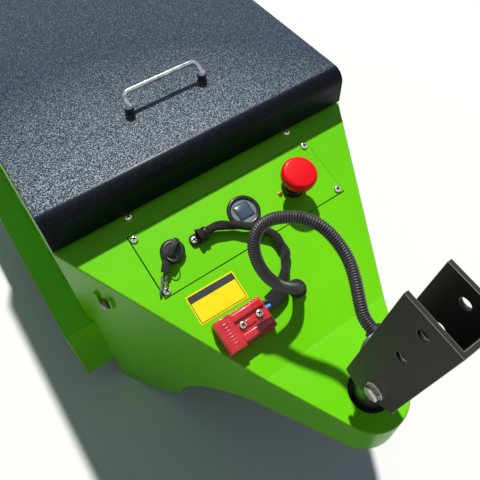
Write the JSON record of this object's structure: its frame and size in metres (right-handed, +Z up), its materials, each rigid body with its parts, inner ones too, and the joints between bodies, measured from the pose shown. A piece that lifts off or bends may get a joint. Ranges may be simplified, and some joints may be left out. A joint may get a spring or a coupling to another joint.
{
  "type": "tow tractor body",
  "caption": "Body of a pedestrian tow tractor: tapered green nose with control panel, hinged black battery lid, steel frame, and a steering head with a tilting tiller foot",
  "frame": {"origin": "centre of the four holes in the lower frame's bottom flanges, on their underside, where the drive axle bolts on", "axes": "+Z is up, away from the axle; +Y runs from the operator's nose to the back of the battery box, the longest way; +X is the right as the operator sees it"},
  "size_m": [0.45, 0.7382, 0.4792],
  "materials": {
    "green_paint": "bright leaf-green gloss enamel on folded sheet steel, scuffed at the edges",
    "black_texture": "fine-grained black powder coat",
    "chassis_paint": "dark grey chassis paint",
    "foot_paint": "black satin paint over steel plate, rubbed to bare steel at the holes",
    "machined_steel": "turned steel, lightly oiled",
    "zinc_bolt": "zinc-plated fastener",
    "wire_steel": "bent round steel wire",
    "black_plastic": "moulded black plastic",
    "black_rubber": "soft black rubber",
    "corrugated_black": "split corrugated black conduit",
    "woven_sleeve": "braided dark grey sleeve over a battery cable",
    "blue_insulation": "blue cable insulation",
    "black_insulation": "black cable insulation",
    "plug_red": "moulded red plastic",
    "estop_red": "shiny red plastic",
    "display_grey": "small square display",
    "lamp_brass": "small brass-coloured indicator",
    "battery_case": "black battery cases under a strap"
  },
  "bodies": {
    "body": {"battery_left": "battery_case", "battery_right": "battery_case", "box_back": "green_paint", "box_bulkhead": "green_paint", "box_floor": "chassis_paint", "box_side_left": "green_paint", "box_side_right": "green_paint", "cable_boot": "black_rubber", "charge_lamp": "lamp_brass", "conduit": "corrugated_black", "control_plate": "green_paint", "estop_base": "black_plastic", "estop_head": "estop_red", "frame_back": "green_paint", "frame_front": "green_paint", "frame_rail_left": "green_paint", "frame_rail_right": "green_paint", "gauge": "black_plastic", "gauge_display": "display_grey", "grommet": "black_rubber", "guard_bolt_left": "zinc_bolt", "guard_bolt_right": "zinc_bolt", "head_tube": "chassis_paint", "hinge_box_leaf": "zinc_bolt", "hinge_pin": "zinc_bolt", "key": "zinc_bolt", "key_switch": "black_plastic", "lead_black": "black_insulation", "lead_blue": "blue_insulation", "nose_panel": "green_paint", "nose_side_left": "green_paint", "nose_side_right": "green_paint", "nose_tip": "green_paint", "plate_tabs": "chassis_paint", "plug": "plug_red", "side_guard_left": "green_paint", "side_guard_right": "green_paint", "sleeve": "woven_sleeve", "steering_beam": "chassis_paint"},
    "lid": {"lid": "black_texture", "hinge_lid_leaf": "zinc_bolt", "handle_standoffs": "black_plastic", "lid_handle": "wire_steel"},
    "swivel": {"swivel_yoke": "machined_steel", "conduit_gland": "black_plastic", "conduit_end": "corrugated_black"},
    "foot": {"tiller_foot": "foot_paint", "pivot_bolt": "zinc_bolt"}
  },
  "joints": [
    {"name": "lid_hinge", "type": "hinge", "parent": "body", "child": "lid", "pos_m": [0, 0.2099, 0.296], "axis": [-1, 0, 0], "range_deg": [0, 100]},
    {"name": "steering", "type": "hinge", "parent": "body", "child": "swivel", "pos_m": [0, -0.473, 0.15], "axis": [0, 0, 1], "range_deg": [-90, 90]},
    {"name": "tiller_tilt", "type": "hinge", "parent": "swivel", "child": "foot", "pos_m": [0, -0.486, 0.2696], "axis": [1, 0, 0], "range_deg": [0, 75], "stiffness_Nm_per_rad": 1, "springref_deg": -34.38}
  ]
}
